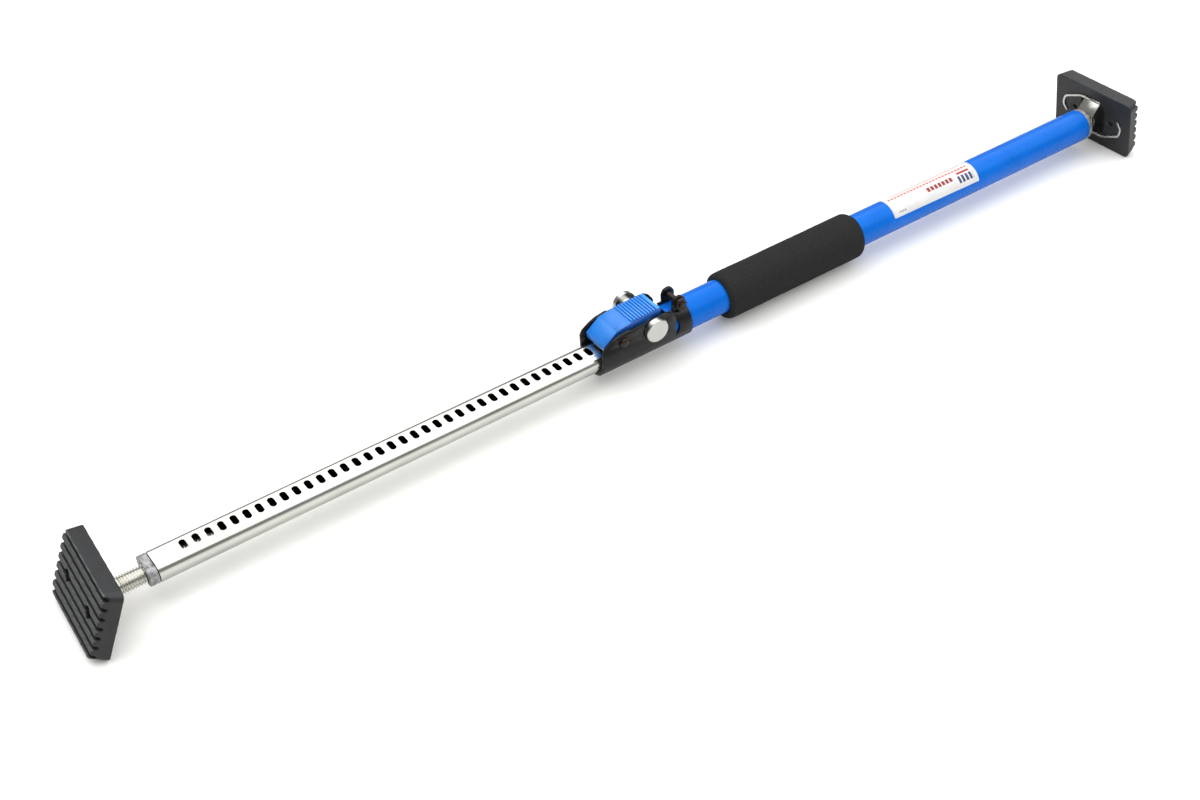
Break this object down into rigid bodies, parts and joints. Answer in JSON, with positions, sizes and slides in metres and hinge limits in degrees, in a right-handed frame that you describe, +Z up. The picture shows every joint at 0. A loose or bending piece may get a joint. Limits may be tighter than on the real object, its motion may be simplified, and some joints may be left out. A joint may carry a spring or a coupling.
{
  "type": "telescopic clamping bar",
  "caption": "Telescopic clamping bar with a foam grip, a slotted sliding inner tube, a lever latch with a cross-bolt, a screw jack and two swivelling ribbed rubber feet.",
  "frame": {"origin": "on the standing surface, under the middle of the bar's length and width", "axes": "+X along the bar to the foot on the painted tube, +Y across, away from the near side of the latch, +Z up"},
  "size_m": [0.9842, 0.0837, 0.0551],
  "materials": {
    "blue_paint": "gloss powder coat",
    "foam": "matt closed-cell foam",
    "sticker": "printed film",
    "black_steel": "semi-gloss black coat",
    "black_plastic": "moulded",
    "black_bolt": "black oxide",
    "zinc_plate": "bright zinc",
    "spring_steel": "drawn wire",
    "cast_zinc": "die-cast",
    "blue_lever": "satin paint",
    "tooth_steel": "ground",
    "nickel": "nickel plate",
    "tube_plating": "bright zinc plate",
    "rubber": "moulded rubber"
  },
  "bodies": {
    "holder": {"outer_tube": "blue_paint", "foam_grip": "foam", "label": "sticker", "housing": "black_steel", "front_guide": "black_plastic", "clamp_bolt": "black_bolt", "clamp_nut": "black_bolt", "lever_pin": "black_bolt", "spring_seat": "zinc_plate", "lever_spring": "spring_steel", "end_plug": "cast_zinc", "right_swivel_bolt": "zinc_plate", "right_spacer": "zinc_plate"},
    "lever": {"lever": "blue_lever", "latch_tooth": "tooth_steel"},
    "lock": {"lock_pin": "nickel", "lock_pin_head": "nickel"},
    "inner": {"inner_tube": "tube_plating", "end_cap": "cast_zinc", "inner_tube_plug": "black_plastic"},
    "left_carrier": {"left_thrust_washer": "zinc_plate"},
    "rod": {"threaded_rod": "zinc_plate", "left_swivel_bolt": "zinc_plate"},
    "left_swivel": {"left_inner_washer": "zinc_plate"},
    "left_foot": {"left_bracket": "zinc_plate", "left_pad": "rubber"},
    "right_swivel": {"right_inner_washer": "zinc_plate"},
    "right_foot": {"right_bracket": "zinc_plate", "right_pad": "rubber"}
  },
  "joints": [
    {"name": "tube_slide", "type": "slide", "parent": "holder", "child": "inner", "axis": [-1, 0, 0], "range_m": [-0.357, 0.038]},
    {"name": "lever_press", "type": "hinge", "parent": "holder", "child": "lever", "pos_m": [-0.04945, 0, 0.03904], "axis": [0, -1, 0], "range_deg": [-5, 9.6], "stiffness_Nm_per_rad": 0.4, "deforming": ["lever_spring"]},
    {"name": "lock_pin_slide", "type": "slide", "parent": "holder", "child": "lock", "axis": [0, -1, 0], "range_m": [0, 0.0065]},
    {"name": "rod_turn", "type": "hinge", "parent": "left_carrier", "child": "rod", "pos_m": [-0.45895, 0, 0.02094], "axis": [-1, 0, 0], "range_deg": [-2890, 5410]},
    {"name": "jack_slide", "type": "slide", "parent": "inner", "child": "left_carrier", "axis": [-1, 0, 0], "range_m": [-0.016, 0.03]},
    {"name": "left_roll", "type": "hinge", "parent": "left_carrier", "child": "left_swivel", "pos_m": [-0.45895, 0, 0.02094], "axis": [-1, 0, 0], "continuous": true},
    {"name": "left_tilt", "type": "hinge", "parent": "left_swivel", "child": "left_foot", "pos_m": [-0.45895, 0, 0.02094], "axis": [0, 1, 0], "range_deg": [-49.3, 0.3]},
    {"name": "right_roll", "type": "hinge", "parent": "holder", "child": "right_swivel", "pos_m": [0.46435, 0, 0.02424], "axis": [1, 0, 0], "continuous": true},
    {"name": "right_tilt", "type": "hinge", "parent": "right_swivel", "child": "right_foot", "pos_m": [0.46435, 0, 0.02424], "axis": [0, -1, 0], "range_deg": [-33.2, 6]}
  ],
  "couplings": [
    {"joint": "rod_turn", "follows": "jack_slide", "rad_per_m": 3141.6}
  ]
}
